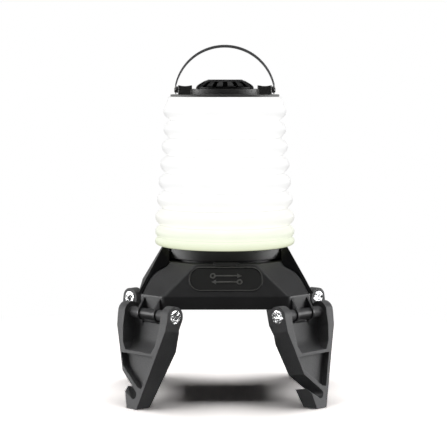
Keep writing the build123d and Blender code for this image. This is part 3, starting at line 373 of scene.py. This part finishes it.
cloudy, dust_size, tint_and_shade_height = 9, 0.3, 26      # mm: uneven patches, dust, height of the warm tint and painted shade at the foot
silicone = bpy.data.materials.new("lit_silicone")
tree, output = blank(silicone)
place = add(tree, "TexCoord").outputs["Object"]
thickness = add(tree, "TexNoise", {"Vector": place, "Scale": 1 / (cloudy * mm),
                                   "Detail": 2.0}).outputs["Fac"]
dust = add(tree, "TexNoise", {"Vector": place, "Scale": 1 / (dust_size * mm),
                              "Detail": 1.0}).outputs["Fac"]
climb = spread(tree, add(tree, "SeparateXYZ", {0: place}).outputs["Z"], 0, 1,
               globe_foot, globe_foot + tint_and_shade_height * mm)
# painted shade: the glow is tinted warm and dimmed towards the foot
glow_tint_and_foot_shade = add(tree, "ValToRGB", {0: climb})
glow_tint_and_foot_shade.color_ramp.elements[0].color = (0.80, 0.85, 0.60, 1)
glow_tint_and_foot_shade.color_ramp.elements[1].color = (1, 1, 1, 1)
for share, colour in ((0.18, (0.94, 0.99, 0.80, 1)), (0.5, (1.0, 1.0, 0.93, 1))):
    glow_tint_and_foot_shade.color_ramp.elements.new(share).color = colour
# painted shade: each ring's glow is dimmed in the notches, the groove and at the ends
glow_with_painted_shade = add(tree, "Attribute", attribute_name="glow").outputs["Fac"]
power = add(tree, "Math", {0: glow_with_painted_shade, 1: spread(tree, thickness, 0.97, 1.0)},
            operation="MULTIPLY")
shine = add(tree, "VectorMath", {0: glow_tint_and_foot_shade.outputs["Color"], "Scale": power.outputs[0]},
            operation="SCALE")
relief = add(tree, "Bump", {"Height": dust, "Distance": 0.02 * mm})
skin = add(tree, "BsdfPrincipled", {
    "Base Color": linear("#bcbcb8"), "Roughness": 0.5, "IOR": 1.41,
    "Emission Color": shine.outputs[0], "Emission Strength": 1.0,
    "Coat Weight": 1.0, "Coat Roughness": 0.5, "Coat IOR": 1.41,
    "Sheen Weight": 0.55, "Sheen Roughness": 0.35, "Normal": relief.outputs["Normal"]})
tree.links.new(skin.outputs[0], output.inputs["Surface"])

globe = make("globe_bellows", bellows, silicone, "base")
wall = globe.modifiers.new("wall", "SOLIDIFY")
wall.thickness, wall.offset = skin_thick * mm, -1
soften = globe.modifiers.new("soften", "SUBSURF")
soften.levels = soften.render_levels = 2
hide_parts("globe")
flagged.objects.link(globe)
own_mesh(globe)

# ------------------------------------------------------------------ cap and crown
# Satin black ABS moulding with the hub and the bail lugs, coloured mid grey as painted light on
# the hub. The slotted crown pressed on the hub is the same plastic from a polished tool, its
# shoulder rounded like a shallow dome.
# painted light: the cap is coloured #525251, far paler than the crown's black of the same plastic
dress(moulded("satin_black_abs_painted_lighter", "#525251", 0.46, grain=0.3, depth=0.015, level=0.26), "cap")
(_, _, crown_foot), (_, _, crown_top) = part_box("vent_crown")
crown_high = crown_top - crown_foot
levels = (0.15, 0.3, 0.45, 0.6, 0.75, 0.88, 0.96)      # cuts in the shoulder, shares of its height
swell, half_waves, top_lift = 0.6, 1.15, 0.2           # mm, half waves over the height, mm
dome = bmesh.new()
dome.from_mesh(nodes["vent_crown"].data)
dome.transform(nodes["vent_crown"].matrix_world)
bmesh.ops.remove_doubles(dome, verts=dome.verts, dist=weld)
for level in levels:
    bmesh.ops.bisect_plane(dome, geom=dome.verts[:] + dome.edges[:] + dome.faces[:],
                           plane_co=(0, 0, crown_foot + level * crown_high), plane_no=(0, 0, 1),
                           dist=0.5 * weld)
for point in dome.verts:
    height = (point.co.z - crown_foot) / crown_high
    bulge, lift = swell * mm * sin(half_waves * pi * height), top_lift * mm * (height > 0.99)
    point.co += bulge * Vector((point.co.x, point.co.y, 0)).normalized() + Vector((0, 0, lift))
crown = make("domed_crown", dome, moulded("gloss_black_abs", "#0f0f10", 0.38, grain=5.0, depth=0.01,
                                          mottle=0.04, level=0.12), "cap", smooth=False)
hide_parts("vent_crown")

# ------------------------------------------------------------------ bail
# Spring-steel strap, blued to a dark grey and rolled lengthwise, so its faint marks run
# along it. It swings on two nickel-plated rivets.
dress(metal("blued_spring_steel", "#a2a2a4", 0.4, patch=0.6, depth=0.006, stretch=(1, 0.15, 1)),
      "bail")
dress(metal("nickel_plate", "#b9b6b0", 0.25), "bail_pins")

# ------------------------------------------------------------------ port cover
# Soft TPE flap over the sockets, matt and slightly dusty, on a strip of the same rubber.
rubber = moulded("port_rubber", "#181817", 0.55, grain=0.25, depth=0.03, mottle=0.12)
dress(rubber, "port_cover", "cover_anchor")

# ------------------------------------------------------------------ port rim
# Fine raised bead round the flap, part of the housing's moulding but polished in the tool, and
# coloured paler than the housing as a painted highlight, so that it shows as a thin light line.
panel_y, panel_z = -36.9, 61.6                                    # mm, middle of the flap
rim_half, rim_tall, rim_round = 17.74, 6.18, 5.5                  # mm, half sizes and corners
bead_wide, bead_high = 0.5, 0.27                                  # mm
flap = Matrix.Translation((0, panel_y * mm, panel_z * mm)) @ Matrix.Rotation(pi / 2 - lean, 4, "X")
bead = bmesh.new()
bmesh.ops.create_grid(bead, x_segments=1, y_segments=1, size=1)
bmesh.ops.scale(bead, vec=(rim_half * mm, rim_tall * mm, 1), verts=bead.verts)
bmesh.ops.bevel(bead, geom=bead.verts, offset=rim_round * mm, segments=8, affect="VERTICES",
                profile=0.5, material=-1)
ring = bmesh.ops.inset_region(bead, faces=bead.faces, thickness=bead_wide * mm,
                              use_even_offset=True, use_boundary=True)["faces"]
bmesh.ops.delete(bead, geom=[face for face in bead.faces if face not in ring], context="FACES")
lifted = bmesh.ops.extrude_face_region(bead, geom=bead.faces[:])["geom"]
bmesh.ops.translate(bead, verts=[part for part in lifted if isinstance(part, bmesh.types.BMVert)],
                    vec=(0, 0, bead_high * mm))
bmesh.ops.transform(bead, matrix=flap, verts=bead.verts)
bmesh.ops.recalc_face_normals(bead, faces=bead.faces)
# painted highlight: the bead is coloured paler than the housing's nylon
polished_with_painted_highlight = moulded("nylon_with_painted_highlight", "#626260", 0.3, grain=0.4, depth=0.01, edge=0.15)
make("port_rim", bead, polished_with_painted_highlight, "base", smooth=False)

# ------------------------------------------------------------------ power symbol
# Raised on the flap: an arrow out of a small ring, and one back into another, for power in
# and power out. Its polished top is coloured lighter than the matt rubber round it, a painted
# highlight.
stroke, proud, sunk, soft, ease = 0.7, 0.22, 0.1, 0.08, 0.06      # mm
ring_in, ring_out, shaft_start = 0.7, 1.4, 1.3                    # mm from the ring's middle
head_long, head_half = 2.2, 1.15                                  # mm
symbol = bmesh.new()


def raised(outline):
    """A flat outline, in mm on the flap, raised and with a soft edge."""
    face = symbol.faces.new([symbol.verts.new((x * mm, y * mm, -sunk * mm)) for x, y in outline])
    top = bmesh.ops.extrude_face_region(symbol, geom=[face])["geom"]
    points = [part for part in top if isinstance(part, bmesh.types.BMVert)]
    bmesh.ops.translate(symbol, verts=points, vec=(0, 0, (proud + sunk) * mm))
    rim = [part for part in top if isinstance(part, bmesh.types.BMEdge)]
    bmesh.ops.bevel(symbol, geom=rim, offset=soft * mm, segments=2, affect="EDGES", profile=0.5,
                    material=-1)


# which way each arrow points, its row, and the places of its ring and its tip along the flap
for heading, row, ring_x, tip_x in ((1, 1.62, -6.3, 7.7), (-1, -1.55, 6.6, -7.0)):
    back = ring_x + heading * shaft_start
    neck = tip_x - heading * head_long
    raised([(back, row - stroke / 2), (neck, row - stroke / 2), (neck, row + stroke / 2),
            (back, row + stroke / 2)][::heading])
    raised([(neck, row - head_half), (tip_x, row), (neck, row + head_half)][::heading])
    rim = [symbol.verts.new(((ring_x + r) * mm, row * mm, h * mm))
           for r, h in ((ring_in, -sunk), (ring_in, proud - ease), (ring_in + soft, proud),
                        (ring_out - soft, proud), (ring_out, proud - ease), (ring_out, -sunk))]
    loop = [symbol.edges.new(pair) for pair in zip(rim, rim[1:] + rim[:1])]
    bmesh.ops.spin(symbol, geom=rim + loop, cent=(ring_x * mm, row * mm, 0), axis=(0, 0, 1),
                   angle=tau, steps=28, use_merge=True)
bmesh.ops.remove_doubles(symbol, verts=symbol.verts, dist=0.005 * mm)
bmesh.ops.transform(symbol, matrix=flap, verts=symbol.verts)
bmesh.ops.recalc_face_normals(symbol, faces=symbol.faces)
# painted highlight: the symbol is coloured paler than the flap's rubber
polished_with_painted_highlight = moulded("rubber_with_painted_highlight", "#72726f", 0.3, grain=0.4, depth=0.01)
make("power_symbol", symbol, polished_with_painted_highlight, "port_cover", smooth=False)

# ------------------------------------------------------------------ sockets
# Folded steel shells, tin plated.
dress(metal("tin_plate", "#c3c4c5", 0.3, patch=0.8), "usb_a_socket", "micro_usb_socket")

# ------------------------------------------------------------------ rear controls
# Silicone push buttons, white and red, a clear light pipe between them, and the black
# switches that they press.
dress(moulded("white_silicone", "#d6d6d2", 0.5, grain=0.3, depth=0.02, mottle=0.04),
      "button_white")
dress(moulded("red_silicone", "#b3331f", 0.5, grain=0.3, depth=0.02, mottle=0.06),
      "button_colour")
dress(moulded("switch_plastic", "#202021", 0.45), "tact_switches")

haze_size = 1.5      # mm
light_pipe = bpy.data.materials.new("clear_light_pipe")
tree, output = blank(light_pipe)
haze = add(tree, "TexNoise", {"Vector": add(tree, "TexCoord").outputs["Object"],
                              "Scale": 1 / (haze_size * mm), "Detail": 2.0}).outputs["Fac"]
skin = add(tree, "BsdfPrincipled", {
    "Base Color": linear("#cfe8cf"), "Transmission Weight": 0.7, "IOR": 1.58,
    "Roughness": spread(tree, haze, 0.1, 0.25)})
tree.links.new(skin.outputs[0], output.inputs["Surface"])
dress(light_pipe, "charge_light")

# ------------------------------------------------------------------ hook legs
# Four mouldings in the nylon of the base, with a slightly coarser grain on their long faces,
# coloured lighter than the base as painted light.
corners = ("front_right", "rear_right", "rear_left", "front_left")
# painted light: the legs' nylon is coloured lighter than the base's #323233
dress(moulded("leg_nylon_painted_lighter", "#5a5a5b", 0.5, grain=0.5, depth=0.05, level=0.25),
      *("leg_" + corner for corner in corners))

# ------------------------------------------------------------------ hinge pins
# Chrome-plated screws and barrel nuts: bright, with the fine orange peel of thick plating.
dress(metal("chrome_plate", "#f2f2f3", 0.14, patch=1.5, depth=0.25, edge=0.35),
      *(kind + corner for kind in ("hinge_screw_", "barrel_nut_") for corner in corners))

# the three lower softboxes pass the flagged objects by
for held in flagged.collection_objects:
    held.light_linking.link_state = "EXCLUDE"
